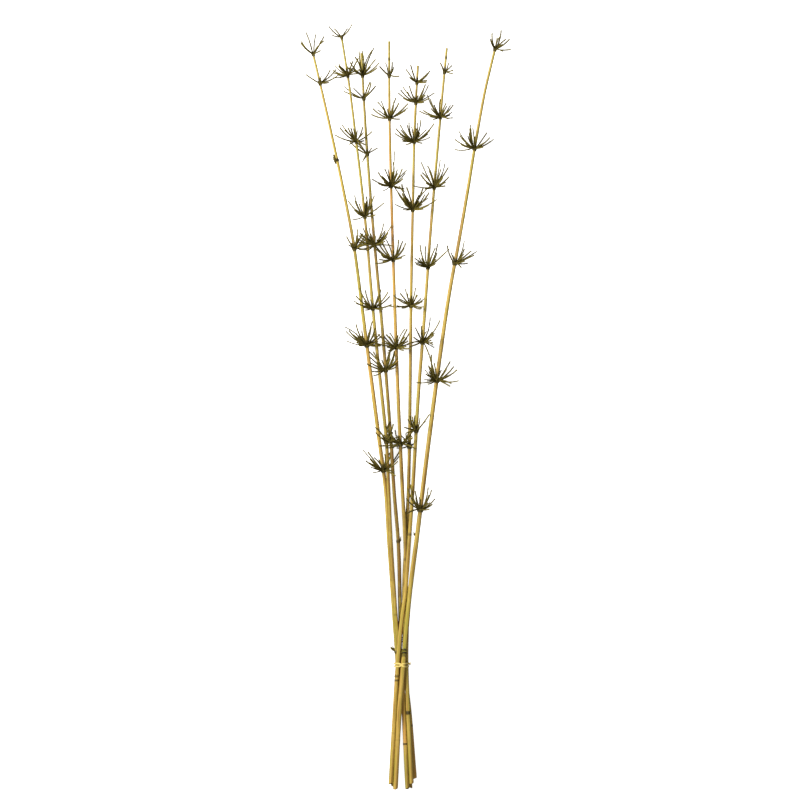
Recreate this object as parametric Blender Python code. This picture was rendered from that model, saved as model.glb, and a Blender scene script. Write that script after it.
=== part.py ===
"""A bunch of seven dried jointed reeds, lying on a flat surface.

Each reed is a slim straw-gold stem that carries a whorl of short cut twigs at every upper joint.
A raffia tie gathers the stems low down, so they fan out above it and splay a little below it.
The frame: +Y runs along the bunch to the whorled ends, +Z is up, and z = 0 is the surface.
The tables below are in millimetres, and MM turns them to metres.
"""
import math
import random
from collections import namedtuple
from itertools import combinations

import bmesh
import bpy
import numpy as np
from mathutils import Vector

MM = 0.001
GAP = 0.35                  # left between two pieces that touch
CUT_END = -552.0            # the lowest cut end, along Y
FAR_TIP = 536.0             # past the highest stem tip
RING_STEP = 24.0            # between two rings of a stem where the stems lie close
LOOSE_RINGS = 3             # above FAN_START a stem needs only every third ring
FAN_START = -180.0          # past here the stems are clear of each other
SETTLE_ROUNDS = 400
ON_SURFACE = 0.02           # left under what lies on the surface

TIE_AT = -372.0             # where the raffia goes round, along Y
TIE_WIDTH = 6.4
TIE_THICKNESS = 0.9

COLLAR_SIDES = 7            # one twig grows from each side of a joint's sheath
COLLAR_WALL = 0.7
COLLAR_LENGTH = 3.4
TWIG_BASE = 0.85            # half thickness of a twig near the sheath
TWIG_TIP = 0.4              # half thickness at its cut tip
TWIG_ROOM = 1.45            # the radius kept free round a twig, over its corners and its thick root
TWIG_CLEAR = 0.35           # left between a twig and anything else
SHORTEST_REACH = 3.5        # how far the shortest twig stands out from the sheath
SEED = 7

# A reed: where its stem runs (x, y, z), its radius at the cut end, halfway and at the tip,
# where its cut end and tip are along Y, and its whorls.
Reed = namedtuple("Reed", "course radii span whorls")
# A whorl: its place along Y, how far its twigs reach to the left, right and forward, and how many.
Whorl = namedtuple("Whorl", "at left right forward twigs", defaults=(COLLAR_SIDES,))

REEDS = {
    "reed_1": Reed(
        course=[(-19.5, -549, 3.6), (-14, -443, 7), (-13, -372, 10.7), (-17, -313, 6.5), (-20.5, -264, 6.5),
                (-25.5, -192, 7.5), (-31.5, -103, 10), (-40.5, -40, 12), (-50.5, 38, 14), (-62, 125, 15),
                (-75, 227, 15.5), (-88, 297, 16), (-112.5, 413, 16.5), (-134.5, 508, 17)],
        radii=(3.0, 2.8, 1.6), span=(-549, 509),
        whorls=[Whorl(508, 21, 17, 30, 6), Whorl(466, 20, 23, 23), Whorl(228, 14, 19, 23),
                Whorl(89, 36, 25, 30), Whorl(-91, 34, 28, 28)],
    ),
    "reed_2": Reed(
        course=[(1.5, -552, 10.5), (-3, -443, 11.2), (-6.5, -372, 11), (-14.5, -313, 12.5), (-18, -264, 12.5),
                (-22.5, -192, 13), (-26.5, -103, 14), (-29, -40, 15), (-38, 38, 16), (-48.5, 142, 17),
                (-60, 274, 18), (-72.5, 382, 18.5), (-84.5, 477, 19), (-93.5, 532, 19)],
        radii=(3.0, 2.4, 1.5), span=(-552, 533),
        whorls=[Whorl(532, 23, 17, 20, 6), Whorl(477, 18, 16, 17), Whorl(382, 31, 20, 25),
                Whorl(274, 24, 26, 30), Whorl(142, 30, 23, 28), Whorl(-50, 14, 16, 23)],
    ),
    "reed_3": Reed(
        course=[(5.5, -551, 3.6), (-1.5, -443, 4.2), (-8.8, -372, 4.8), (-8, -313, 5.5), (-9.5, -264, 7),
                (-12, -192, 10), (-19.5, -103, 13), (-26.5, 5, 14.5), (-36, 125, 15), (-46, 233, 16),
                (-56.5, 364, 17), (-61.5, 444, 18), (-65, 509, 18)],
        radii=(3.1, 2.4, 1.6), span=(-551, 509),
        whorls=[Whorl(477, 18, 25, 40), Whorl(444, 26, 17, 21), Whorl(364, 28, 12, 16, 5),
                Whorl(233, 22, 24, 30), Whorl(53, 24, 17, 30)],
    ),
    "reed_4": Reed(
        course=[(7, -544, 11), (1.4, -443, 11.5), (-0.6, -372, 10.8), (0.5, -313, 12), (-0.5, -264, 13),
                (-2, -192, 14), (-6.5, -106, 16), (-13, 38, 17.5), (-18, 176, 18), (-21.5, 292, 18),
                (-24.5, 415, 18), (-25, 526, 18)],
        radii=(3.1, 2.5, 1.6), span=(-544, 526),
        whorls=[Whorl(477, 13, 20, 19, 5), Whorl(415, 32, 31, 30), Whorl(318, 28, 26, 28),
                Whorl(212, 24, 26, 30), Whorl(86, 30, 24, 28), Whorl(-54, 28, 24, 24)],
    ),
    "reed_5": Reed(
        course=[(12, -537, 3.7), (4.5, -443, 4.3), (-3.2, -372, 4.8), (-4, -313, 5), (-4, -264, 5.5),
                (-0.5, -192, 7.5), (3.5, -94, 10.5), (5, 9, 13), (7, 186, 16), (9, 284, 17),
                (12, 410, 17), (16.5, 492, 17)],
        radii=(3.1, 2.4, 1.6), span=(-537, 491),
        whorls=[Whorl(467, 23, 20, 23), Whorl(438, 24, 23, 22), Whorl(382, 34, 31, 28),
                Whorl(284, 34, 41, 34), Whorl(146, 30, 26, 28), Whorl(-57, 14, 16, 16)],
    ),
    "reed_6": Reed(
        course=[(-23, -545, 11), (-17, -443, 16), (-13, -372, 18), (-7.5, -313, 19), (-1.5, -264, 20),
                (4, -192, 20), (10, -103, 20), (16.5, 9, 20), (25.5, 125, 20), (35.5, 264, 20),
                (44.5, 368, 20), (52.5, 459, 20), (58, 516, 20)],
        radii=(3.1, 2.5, 1.6), span=(-545, 516),
        whorls=[Whorl(482, 14, 14, 16, 6), Whorl(417, 36, 20, 30), Whorl(316, 28, 24, 36),
                Whorl(201, 20, 25, 34), Whorl(93, 18, 26, 36), Whorl(-34, 17, 24, 21)],
    ),
    "reed_7": Reed(
        course=[(-16, -552, 11.5), (-10.8, -443, 17), (-4.8, -372, 18.5), (0.5, -313, 19.5), (5.2, -264, 20),
                (14.5, -192, 20), (26.5, -94, 20), (43.5, 38, 19), (62, 165, 19), (81.5, 271, 19),
                (98, 372, 19), (114, 459, 19), (129, 521, 19)],
        radii=(3.5, 3.1, 1.8), span=(-552, 519),
        whorls=[Whorl(515, 7, 27, 30, 6), Whorl(372, 38, 32, 32), Whorl(207, 24, 41, 34),
                Whorl(38, 31, 43, 40), Whorl(-148, 20, 25, 34)],
    ),
}

# A dry bud on a bare joint: its place along Y, its side (-1 left, 1 right) and how far it leans out.
Bud = namedtuple("Bud", "reed at side lean length radius")

BUDS = {
    "bud_1": Bud("reed_1", -349, -1, 0.7, 8.5, 1.7),
    "bud_2": Bud("reed_1", 355, -1, 0.6, 7.0, 1.7),
    "bud_3": Bud("reed_3", -194, 1, 0.1, 6.5, 1.1),
    "bud_4": Bud("reed_6", -184, 1, 0.5, 4.0, 1.7),
}

COLOURS = {
    "stem": (0.58, 0.40, 0.10, 1.0),
    "brown_stem": (0.36, 0.26, 0.08, 1.0),
    "twig": (0.08, 0.07, 0.02, 1.0),
    "raffia": (0.80, 0.66, 0.28, 1.0),
}
BROWN_REEDS = ("reed_3", "reed_5")


def clear_scene():
    for obj in list(bpy.data.objects):
        bpy.data.objects.remove(obj, do_unlink=True)


def make_collection(name):
    collection = bpy.data.collections.new(name)
    bpy.context.scene.collection.children.link(collection)
    return collection


def make_material(name, colour, roughness):
    material = bpy.data.materials.new(name)
    material.use_nodes = True
    shader = material.node_tree.nodes["Principled BSDF"]
    shader.inputs["Base Color"].default_value = colour
    shader.inputs["Roughness"].default_value = roughness
    return material


def smooth_through(points, at):
    """A smooth curve through hand-set points (x, y, z), read at the places `at` along Y."""
    table = np.array(sorted(points, key=lambda point: point[1]), float)
    y = table[:, 1]
    steps = np.diff(y)
    result = []
    for column in (0, 2):
        value = table[:, column]
        slopes = np.diff(value) / steps
        tangent = np.concatenate([[slopes[0]], (slopes[:-1] + slopes[1:]) / 2, [slopes[-1]]])
        spot = np.clip(np.searchsorted(y, at) - 1, 0, len(steps) - 1)
        t = (at - y[spot]) / steps[spot]
        inside = np.clip(t, 0, 1)
        past = (t - inside) * steps[spot]
        hermite = (
            (2 * inside**3 - 3 * inside**2 + 1) * value[spot]
            + (inside**3 - 2 * inside**2 + inside) * steps[spot] * tangent[spot]
            + (-2 * inside**3 + 3 * inside**2) * value[spot + 1]
            + (inside**3 - inside**2) * steps[spot] * tangent[spot + 1]
        )
        end_slope = np.where(t < 0, tangent[0], tangent[-1])
        result.append(hermite + past * end_slope)
    return result


def stem_radius(reed, at):
    return np.interp(at, [CUT_END, 0, FAR_TIP], reed.radii)


def room_round(reed, at):
    """The radius a stem takes up along its length, with its sheaths."""
    room = stem_radius(reed, at)
    for whorl in reed.whorls:
        room[np.abs(at - whorl.at) < RING_STEP] += 2 * COLLAR_WALL
    return room


def settle(x, z, radius, ground):
    """Stems that cross or lie together are pushed apart, mostly up and down, and held above the ground."""
    kernel = np.array([1.0, 2.0, 3.0, 2.0, 1.0]) / 9
    for _ in range(SETTLE_ROUNDS):
        push_x = np.zeros_like(x)
        push_z = np.zeros_like(z)
        for a, b in combinations(range(len(x)), 2):
            dx = x[b] - x[a]
            dz = z[b] - z[a]
            need = radius[a] + radius[b] + GAP * 1.2
            short = np.maximum(need - np.hypot(dx, dz), 0)
            flat = 0.4 * dx
            along = np.hypot(flat, dz) + 1e-9
            push_x[a] -= 0.3 * short * flat / along
            push_x[b] += 0.3 * short * flat / along
            push_z[a] -= 0.3 * short * dz / along
            push_z[b] += 0.3 * short * dz / along
        for line, push in ((x, push_x), (z, push_z)):
            padded = np.pad(push, ((0, 0), (2, 2)), mode="edge")
            line += np.stack([np.convolve(row, kernel, mode="valid") for row in padded])
        np.maximum(z, radius + ground, out=z)
    return x, z


def ring_places(reed, at):
    """Where a stem has its rings: close together low down, and further apart past the crowd."""
    start, end = reed.span
    low = [y for y in at if start + 8 < y < FAN_START]
    high = [y for y in at[::LOOSE_RINGS] if FAN_START + 8 < y < end - 12]
    return np.array([start, *low, *high, end])


def lay_stems():
    """Each stem's middle line once all have settled, as rows of (places along Y, x, z, radius)."""
    at = np.arange(CUT_END, FAR_TIP + RING_STEP, RING_STEP)
    x = np.zeros((len(REEDS), len(at)))
    z = np.zeros_like(x)
    radius = np.zeros_like(x)
    for row, reed in enumerate(REEDS.values()):
        x[row], z[row] = smooth_through(reed.course, at)
        radius[row] = room_round(reed, at)
    ground = np.where(np.abs(at - TIE_AT) < RING_STEP, TIE_THICKNESS + GAP, 0) + ON_SURFACE
    x, z = settle(x, z, radius, ground)
    lines = {}
    for row, (name, reed) in enumerate(REEDS.items()):
        rings = ring_places(reed, at)
        lines[name] = (rings, np.interp(rings, at, x[row]), np.interp(rings, at, z[row]), stem_radius(reed, rings))
    return lines


def stem_point(line, y):
    at, x, z, _ = line
    return Vector((np.interp(y, at, x), y, np.interp(y, at, z)))


def stem_direction(line, y):
    return (stem_point(line, y + 6) - stem_point(line, y - 6)).normalized()


def place_object(name, data, material, collection):
    obj = bpy.data.objects.new(name, data)
    data.materials.append(material)
    collection.objects.link(obj)
    return obj


def make_stem(name, line, material, collection):
    """A round tapering stem with flat cut ends, as a bevelled line."""
    curve = bpy.data.curves.new(name, "CURVE")
    curve.dimensions = "3D"
    curve.bevel_depth = MM
    curve.bevel_resolution = 2
    curve.use_fill_caps = True
    spline = curve.splines.new("POLY")
    spline.points.add(len(line[0]) - 1)
    for point, y, x, z, radius in zip(spline.points, *line):
        point.co = (x * MM, y * MM, z * MM, 1.0)
        point.radius = radius
    place_object(name, curve, material, collection)


def segment_distance(start, end, others):
    """The least distance from one segment to each of many, as numpy rows (start, end)."""
    u = end - start
    p = others[:, 0]
    v = others[:, 1] - p
    w = start - p
    a = u @ u
    b = v @ u
    c = np.einsum("ij,ij->i", v, v)
    d = w @ u
    e = np.einsum("ij,ij->i", v, w)
    det = np.maximum(a * c - b * b, 1e-9)
    s = np.clip((b * e - c * d) / det, 0, 1)
    t = np.clip((b * s + e) / c, 0, 1)
    s = np.clip((b * t - d) / a, 0, 1)
    nearest = w + s[:, None] * u - t[:, None] * v
    return np.linalg.norm(nearest, axis=1)


class Obstacles:
    """The stems and the twigs already grown, as thick segments, so that a new twig can keep clear."""

    def __init__(self, lines):
        segments = []
        radii = []
        owners = []
        for name, (at, x, z, radius) in lines.items():
            points = np.stack([x, at, z], axis=1)
            segments += [(points[i], points[i + 1]) for i in range(len(at) - 1)]
            radii += list(radius[:-1])
            owners += [name] * (len(at) - 1)
        self.segments = np.array(segments)
        self.radii = np.array(radii)
        self.owners = np.array(owners)

    def add(self, path, radius, owner):
        pairs = np.array([(path[i], path[i + 1]) for i in range(len(path) - 1)])
        self.segments = np.concatenate([self.segments, pairs])
        self.radii = np.concatenate([self.radii, [radius] * len(pairs)])
        self.owners = np.concatenate([self.owners, [owner] * len(pairs)])

    def clear(self, path, radius, own):
        """Whether a path keeps TWIG_CLEAR from everything except the pieces in `own`."""
        others = ~np.isin(self.owners, own)
        segments = self.segments[others]
        reach = self.radii[others] + radius + TWIG_CLEAR
        for i in range(len(path) - 1):
            if np.any(segment_distance(path[i], path[i + 1], segments) < reach):
                return False
        return True


def twig_path(hub, frame, outer, angle, whorl, rise, stretch):
    """A twig's bend and tip: it leaves the sheath outwards and then curves up along the stem."""
    side, depth, axis = frame
    across = math.cos(angle)
    deep = math.sin(angle)
    sideways = whorl.left if across < 0 else whorl.right
    inward = (whorl.left + whorl.right) / 2
    spoke = side * across + depth * deep
    reach = math.hypot(across * sideways, deep * inward) * math.sqrt(1 - (0.85 * rise) ** 2) * stretch
    reach = max(reach, outer + SHORTEST_REACH)
    climb = whorl.forward * rise * stretch
    bend = hub + spoke * (outer + 0.5 * (reach - outer)) + axis * climb * 0.38
    tip = hub + spoke * reach + axis * climb
    bend.z = max(bend.z, TWIG_BASE * 1.42)
    tip.z = max(tip.z, TWIG_TIP * 1.42)
    return bend, tip


def make_tuft(name, reed_name, line, whorl, obstacles, dice, material, collection):
    """A joint's sheath, with its twigs drawn out of the sheath's outer faces, in one piece."""
    reed = REEDS[reed_name]
    hub = stem_point(line, whorl.at)
    axis = stem_direction(line, whorl.at)
    depth = Vector((0, 0, 1)) - axis * axis.z
    depth.normalize()
    side = axis.cross(depth).normalized()
    inner = float(stem_radius(reed, whorl.at)) + GAP
    corner = 1 / math.cos(math.pi / COLLAR_SIDES)
    outer = inner + COLLAR_WALL
    turn = dice.uniform(0, 2 * math.pi / COLLAR_SIDES)
    mesh = bmesh.new()
    rings = []
    for radius in (inner, outer):
        for end in (-0.5, 0.5):
            ring = []
            for k in range(COLLAR_SIDES):
                angle = turn + 2 * math.pi * k / COLLAR_SIDES
                spoke = side * math.cos(angle) + depth * math.sin(angle)
                ring.append(mesh.verts.new(hub + spoke * radius * corner + axis * COLLAR_LENGTH * end))
            rings.append(ring)
    inner_low, inner_high, outer_low, outer_high = rings
    outside = []
    for k in range(COLLAR_SIDES):
        n = (k + 1) % COLLAR_SIDES
        mesh.faces.new((inner_low[k], inner_high[k], inner_high[n], inner_low[n]))
        mesh.faces.new((inner_high[k], outer_high[k], outer_high[n], inner_high[n]))
        mesh.faces.new((inner_low[n], outer_low[n], outer_low[k], inner_low[k]))
        outside.append(mesh.faces.new((outer_low[n], outer_high[n], outer_high[k], outer_low[k])))
    bmesh.ops.recalc_face_normals(mesh, faces=mesh.faces)
    bare = set(dice.sample(range(COLLAR_SIDES), COLLAR_SIDES - whorl.twigs))
    for k, face in enumerate(outside):
        angle = turn + 2 * math.pi * (k + 0.5) / COLLAR_SIDES
        rise = (0.1, 0.95, 0.45, 0.8, 0.25, 1.0, 0.6)[k % 7]
        rise = min(1.0, max(0.05, rise + dice.uniform(-0.08, 0.08)))
        root = np.array(hub + (side * math.cos(angle) + depth * math.sin(angle)) * outer)
        path = find_way(hub, (side, depth, axis), outer, angle, whorl, rise, root, obstacles, (reed_name, name))
        if path is None or k in bare:
            continue
        obstacles.add([root] + [np.array(point) for point in path], TWIG_ROOM, name)
        draw_twig(mesh, face, path)
    bmesh.ops.scale(mesh, vec=(MM, MM, MM), verts=mesh.verts)
    data = bpy.data.meshes.new(name)
    mesh.to_mesh(data)
    mesh.free()
    place_object(name, data, material, collection)


def find_way(hub, frame, outer, angle, whorl, rise, root, obstacles, own):
    """The first way for a twig that misses the other reeds: nearly as wished, or turned, or shorter."""
    for stretch in (1.0, 0.86, 0.72, 0.58, 0.45):
        for turned in (0, 0.15, -0.15, 0.3, -0.3):
            for lifted in (0, 0.2, -0.2, 0.4):
                tilt = min(1.0, max(0.02, rise + lifted))
                path = twig_path(hub, frame, outer, angle + turned, whorl, tilt, stretch)
                if obstacles.clear([root] + [np.array(point) for point in path], TWIG_ROOM, own):
                    return path
    return None


def draw_twig(mesh, face, path):
    """Extrudes one face of the sheath to the twig's bend and on to its tip."""
    start = face.calc_center_median()
    width = face.calc_tangent_edge()
    for point, half in zip(path, (TWIG_BASE, TWIG_TIP)):
        forward = (point - start).normalized()
        across = (width - forward * width.dot(forward)).normalized()
        over = forward.cross(across)
        face = bmesh.ops.extrude_discrete_faces(mesh, faces=[face])["faces"][0]
        old = face.calc_center_median()
        for vert in face.verts:
            away = vert.co - old
            vert.co = point + (
                across * math.copysign(half, away.dot(across)) + over * math.copysign(half, away.dot(over))
            )
        start = point


def make_bud(name, line, bud, material, collection):
    """A short pointed bud that leans up from the side of its joint."""
    axis = stem_direction(line, bud.at)
    across = Vector((bud.side * axis.y, -bud.side * axis.x, 0)).normalized()
    lean = (axis + across * bud.lean).normalized()
    off = float(stem_radius(REEDS[bud.reed], bud.at)) + GAP + bud.radius * 1.1
    foot = stem_point(line, bud.at) + across * off
    mesh = bmesh.new()
    bmesh.ops.create_cone(
        mesh,
        segments=8,
        cap_ends=True,
        radius1=bud.radius * MM,
        radius2=bud.radius * 0.35 * MM,
        depth=bud.length * MM,
    )
    mesh.transform(lean.to_track_quat("Z", "Y").to_matrix().to_4x4())
    bmesh.ops.translate(mesh, vec=(foot + lean * bud.length / 2) * MM, verts=mesh.verts)
    data = bpy.data.meshes.new(name)
    mesh.to_mesh(data)
    mesh.free()
    place_object(name, data, material, collection)


def hull_outline(lines, offset, count=32):
    """The outline that a band pulled round all the stems takes, `offset` away from them."""
    circles = []
    for name, line in lines.items():
        for y in (TIE_AT - TIE_WIDTH / 2, TIE_AT, TIE_AT + TIE_WIDTH / 2):
            middle = stem_point(line, y)
            circles.append((middle.x, middle.z, float(stem_radius(REEDS[name], y)) + offset))
    outline = []
    for k in range(count):
        angle = 2 * math.pi * k / count
        nx, nz = math.cos(angle), math.sin(angle)
        x, z, radius = max(circles, key=lambda circle: circle[0] * nx + circle[1] * nz + circle[2])
        outline.append((x + nx * radius, z + nz * radius))
    return outline


def make_tie(lines, material, collection):
    """The raffia band: a flat outline with a hole in it, thickened along the stems."""
    curve = bpy.data.curves.new("tie", "CURVE")
    curve.dimensions = "2D"
    curve.fill_mode = "BOTH"
    curve.extrude = TIE_WIDTH / 2 * MM
    for offset in (GAP, GAP + TIE_THICKNESS):
        outline = hull_outline(lines, offset)
        spline = curve.splines.new("POLY")
        spline.points.add(len(outline) - 1)
        spline.use_cyclic_u = True
        for point, (x, z) in zip(spline.points, outline):
            point.co = (x * MM, z * MM, 0, 1)
    obj = place_object("tie", curve, material, collection)
    obj.rotation_euler = (math.pi / 2, 0, 0)
    obj.location = (0, TIE_AT * MM, 0)


def main():
    clear_scene()
    collection = make_collection("bunch_of_reeds")
    stem_material = make_material("straw_gold_stem", COLOURS["stem"], 0.45)
    brown_material = make_material("brown_stem", COLOURS["brown_stem"], 0.5)
    twig_material = make_material("dark_twig", COLOURS["twig"], 0.8)
    raffia_material = make_material("raffia", COLOURS["raffia"], 0.7)
    lines = lay_stems()
    obstacles = Obstacles(lines)
    dice = random.Random(SEED)
    for name in REEDS:
        material = brown_material if name in BROWN_REEDS else stem_material
        make_stem(name, lines[name], material, collection)
    for name, reed in REEDS.items():
        for number, whorl in enumerate(reed.whorls, start=1):
            tuft = name.replace("reed", "tuft") + f"_{number}"
            make_tuft(tuft, name, lines[name], whorl, obstacles, dice, twig_material, collection)
    for name, bud in BUDS.items():
        make_bud(name, lines[bud.reed], bud, twig_material, collection)
    make_tie(lines, raffia_material, collection)


main()
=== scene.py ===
"""Looks for a bunch of seven dried jointed reeds, tied low down with raffia and lying on a pale sheet.

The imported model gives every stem's course and thickness, the place of every whorl, bud and of the tie.
Each operator below models one kind of piece on it, and the panel in the sidebar lists them in order.
Lengths are in metres unless a name or a comment says millimetres.
"""

import math
import random

import bpy
import numpy as np
from mathutils import Matrix, Vector


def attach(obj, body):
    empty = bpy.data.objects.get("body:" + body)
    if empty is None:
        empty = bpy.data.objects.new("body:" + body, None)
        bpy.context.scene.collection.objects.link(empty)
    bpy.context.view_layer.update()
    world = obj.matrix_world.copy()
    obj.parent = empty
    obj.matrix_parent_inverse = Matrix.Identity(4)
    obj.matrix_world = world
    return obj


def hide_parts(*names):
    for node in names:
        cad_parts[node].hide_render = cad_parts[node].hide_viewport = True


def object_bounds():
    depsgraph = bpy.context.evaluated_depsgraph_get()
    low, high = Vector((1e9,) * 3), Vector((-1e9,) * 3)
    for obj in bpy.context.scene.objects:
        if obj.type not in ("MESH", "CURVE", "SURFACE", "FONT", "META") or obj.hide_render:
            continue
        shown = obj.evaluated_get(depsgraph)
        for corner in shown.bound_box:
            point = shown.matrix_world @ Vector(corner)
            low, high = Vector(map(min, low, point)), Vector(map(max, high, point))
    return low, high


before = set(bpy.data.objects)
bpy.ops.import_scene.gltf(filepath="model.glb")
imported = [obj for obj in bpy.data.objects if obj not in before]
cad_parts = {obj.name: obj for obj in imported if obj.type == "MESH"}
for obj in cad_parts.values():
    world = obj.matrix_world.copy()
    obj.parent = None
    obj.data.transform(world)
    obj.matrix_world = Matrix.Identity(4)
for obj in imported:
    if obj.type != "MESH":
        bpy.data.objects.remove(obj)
cad_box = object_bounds()

bl_info = {
    "name": "Bunch of Dried Reeds",
    "version": (1, 0, 0),
    "blender": (4, 5, 0),
    "location": "View3D > Sidebar > Reeds",
    "description": "Models a tied bunch of dried jointed reeds round its packed model",
    "category": "Add Mesh",
}

MM = 0.001
REEDS = sorted(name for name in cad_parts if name.startswith("reed_"))
TUFTS = sorted(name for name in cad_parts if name.startswith("tuft_"))
BUDS = sorted(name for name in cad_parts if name.startswith("bud_"))

CAMERA_PLACE = (-9.4 * MM, 9.4 * MM, 8.015)     # straight above the bunch
LENS_LENGTH = 250.0                             # the lens and its sensor, in mm
SENSOR_WIDTH = 36.0
WINDOW_PLACE = (-1.3, 0.72, 1.7)
FILL_PLACE = (0.3, -1.9, 1.6)
FILL_SHARE = 0.16           # the fill light's share of the window's power
WHORL_SWELLING = 1.12       # how much a stem swells where a whorl grows
WHORL_JOINT = 1.6           # a quarter or so of that swelling's length, in mm
RING_SHIFT = 1.5            # a whorl's dark ring: how far forward of the joint and how far it fades, in mm
RING_REACH = 7
RING_DARK = 0.9
TWIG_ROOM = 0.8             # kept clear round a twig, in mm
CROSSING = 92               # where round the bunch the raffia's two turns cross, in degrees from its side
TURN_APART = 2.15           # how far each turn lies from the middle of the tie, in mm
# A whorl's three sheaths: how far each is shifted along the stem in mm, and its width in stem widths.
SHEATHS = ((-2.6, 1.2), (-1.0, 1.34), (0.6, 1.3))
# The raffia's short ends: the side, how far forward each starts in mm, and how far it rises in mm.
TAGS = ((1, 1.9, 1.5), (1, 0.4, -1.5), (-1, -1.6, 1.0), (-1, 1.6, 0.2))
TAG_REACH_RIGHT = 2.6
TAG_REACH_LEFT = -1.3

# A bare joint of a stem: its place along Y in mm, how much it swells, how dark its ring is,
# how far the ring fades out in mm, and how far it arches forward over the top of the stem in mm.
# An arched joint is also longer, and sits a little further forward.
BARE_JOINTS = {
    "reed_1": [(-354, 1.28, 0.8, 3, 0), (355, 1.5, 1.0, 3, 0), (-250, 1.05, 0.25, 2, 0)],
    "reed_2": [(-486, 1.12, 0.95, 1.8, 0), (-300, 1.05, 0.3, 2, 0)],
    "reed_3": [(-194, 1.2, 0.8, 3, 0), (-339, 1.26, 0.0, 2, 16), (-416.5, 1.2, 0.0, 2, 12)],
    "reed_4": [(-441, 1.2, 0.9, 3.5, 0), (-220, 1.1, 0.5, 2.5, 0), (500, 1.25, 0.7, 2.5, 0)],
    "reed_5": [(-460, 1.08, 0.5, 2, 0), (-339, 1.26, 0.0, 2, 16)],
    "reed_6": [(-388, 1.2, 0.7, 2.2, 0), (-394, 1.1, 0.8, 2, 0), (-184, 1.12, 0.6, 2.5, 0),
               (502, 1.25, 0.7, 2.5, 0), (-470, 1.03, 0.15, 2, 0)],
    "reed_7": [(-354, 1.42, 1.0, 1.9, 4.5), (-358.3, 1.0, 1.0, 1.7, 4.5), (-362, 1.0, 0.6, 2.6, 4.5),
               (-480, 1.03, 0.15, 2, 0)],
}

# How a stem's colour changes along Y in mm: (place, amber, olive, brown), each weight 0 to 1.
TONES = {
    "reed_1": [(-552, 0.25, 0.1, 0.7), (-420, 0.2, 0.1, 0.45), (-350, 0.1, 0.3, 0.15),
               (-100, 0.2, 0.15, 0.05), (60, 0.5, 0.0, 0.0), (140, 0.1, 0.5, 0.0),
               (200, 0.0, 0.75, 0.0), (240, 0.1, 0.6, 0.0), (330, 0.35, 0.1, 0.0),
               (536, 0.2, 0.4, 0.1)],
    "reed_2": [(-552, 0.2, 0.6, 0.35), (-505, 0.3, 0.4, 0.2), (-489, 0.4, 0.0, 0.05),
               (-483, 0.8, 0.0, 0.0), (-380, 0.5, 0.0, 0.05), (-300, 0.3, 0.2, 0.4),
               (-60, 0.2, 0.4, 0.35), (120, 0.2, 0.4, 0.15), (300, 0.2, 0.5, 0.15),
               (536, 0.1, 0.5, 0.15)],
    "reed_3": [(-552, 0.1, 0.3, 0.85), (-380, 0.2, 0.2, 0.7), (-200, 0.0, 0.7, 1.0),
               (-100, 0.2, 0.5, 0.8), (60, 0.2, 0.4, 0.7), (230, 0.2, 0.4, 0.7), (400, 0.2, 0.5, 0.5),
               (536, 0.1, 0.5, 0.3)],
    "reed_4": [(-552, 0.3, 0.2, 0.35), (-480, 0.2, 0.35, 0.1), (-446, 0.1, 0.3, 0.05),
               (-300, 0.4, 0.0, 0.1), (-190, 0.2, 0.3, 0.5), (-100, 0.3, 0.15, 0.35),
               (0, 0.45, 0.1, 0.18), (180, 0.6, 0.0, 0.1), (240, 0.9, 0.0, 0.1), (400, 0.9, 0.0, 0.15),
               (450, 0.3, 0.4, 0.1), (536, 0.2, 0.5, 0.2)],
    "reed_5": [(-552, 0.75, 0.0, 0.15), (-400, 0.6, 0.0, 0.25), (-250, 0.3, 0.2, 0.6),
               (-150, 0.3, 0.2, 0.45), (0, 0.2, 0.3, 0.4), (200, 0.3, 0.2, 0.2), (400, 0.3, 0.2, 0.1),
               (536, 0.2, 0.4, 0.2)],
    "reed_6": [(-552, 0.2, 0.05, 0.05), (-400, 0.3, 0.0, 0.1), (-300, 0.3, 0.0, 0.0),
               (-200, 0.3, 0.25, 0.25), (-30, 0.1, 0.5, 0.0), (40, 0.2, 0.3, 0.15),
               (250, 0.25, 0.25, 0.05), (420, 0.2, 0.35, 0.05), (536, 0.2, 0.3, 0.1)],
    "reed_7": [(-552, 0.35, 0.15, 0.15), (-360, 0.3, 0.05, 0.05), (-353, 0.0, 1.0, 0.1),
               (-340, 0.1, 0.45, 0.0), (-160, 0.25, 0.2, 0.1), (100, 0.3, 0.15, 0.12),
               (300, 0.3, 0.2, 0.1), (536, 0.2, 0.3, 0.1)],
}

# The pods of each dry bud: how far each leans out from the stem in degrees, its length and radius in mm,
# and how far forward it starts.
BUD_PODS = {
    "bud_1": [(35, 10.0, 1.9, -2.0), (50, 8.5, 1.5, -1.5), (20, 8.0, 1.4, -1.0)],
    "bud_2": [(6, 11.0, 3.1, 1.0), (30, 6.0, 1.8, -1.5), (75, 3.5, 1.2, -2.5)],
    "bud_3": [(16, 8.0, 1.0, 0.0), (42, 4.5, 0.9, -1.0)],
    "bud_4": [(32, 5.0, 1.4, 0.0), (65, 3.2, 1.0, -1.0)],
}

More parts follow.
